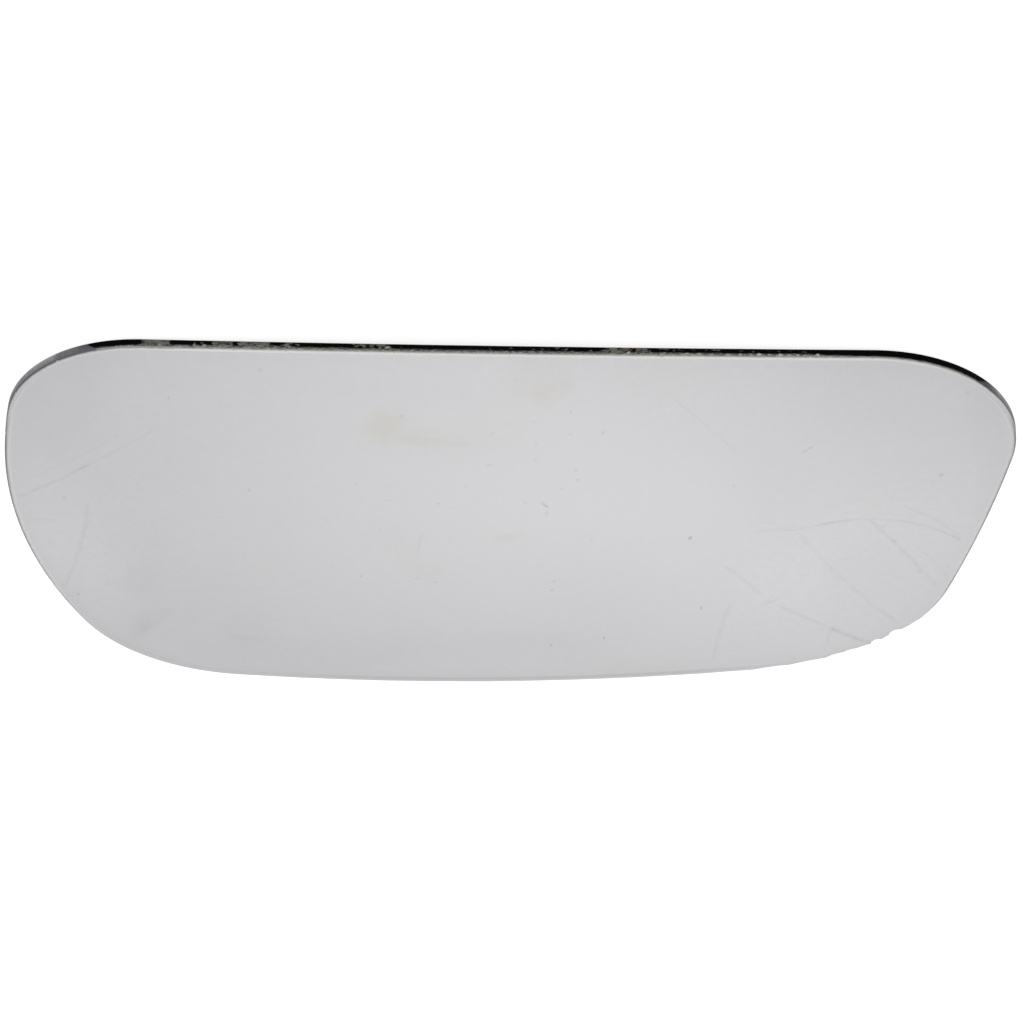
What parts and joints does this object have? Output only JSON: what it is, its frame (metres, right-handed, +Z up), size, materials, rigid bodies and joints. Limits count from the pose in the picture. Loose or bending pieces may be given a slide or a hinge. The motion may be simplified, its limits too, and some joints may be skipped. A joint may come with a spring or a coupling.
{
  "type": "car door mirror glass",
  "caption": "Convex glass for a car door mirror: a thin bent sheet with a rounded, tapering outline, seamed edges and a chipped lower right corner.",
  "frame": {"origin": "the point under the middle of the outline, on the surface that the rim of the hollow back lies on", "axes": "+X to the right as the driver sees the mirror, +Y to the mirror's upper edge, +Z up, out of the reflecting face"},
  "size_m": [0.2216, 0.1386, 0.0078],
  "materials": {
    "mirror_glass": "polished, silvered on the back, with fine scratches and light stains"
  },
  "bodies": {
    "root": {"mirror_glass": "mirror_glass"}
  },
  "joints": []
}
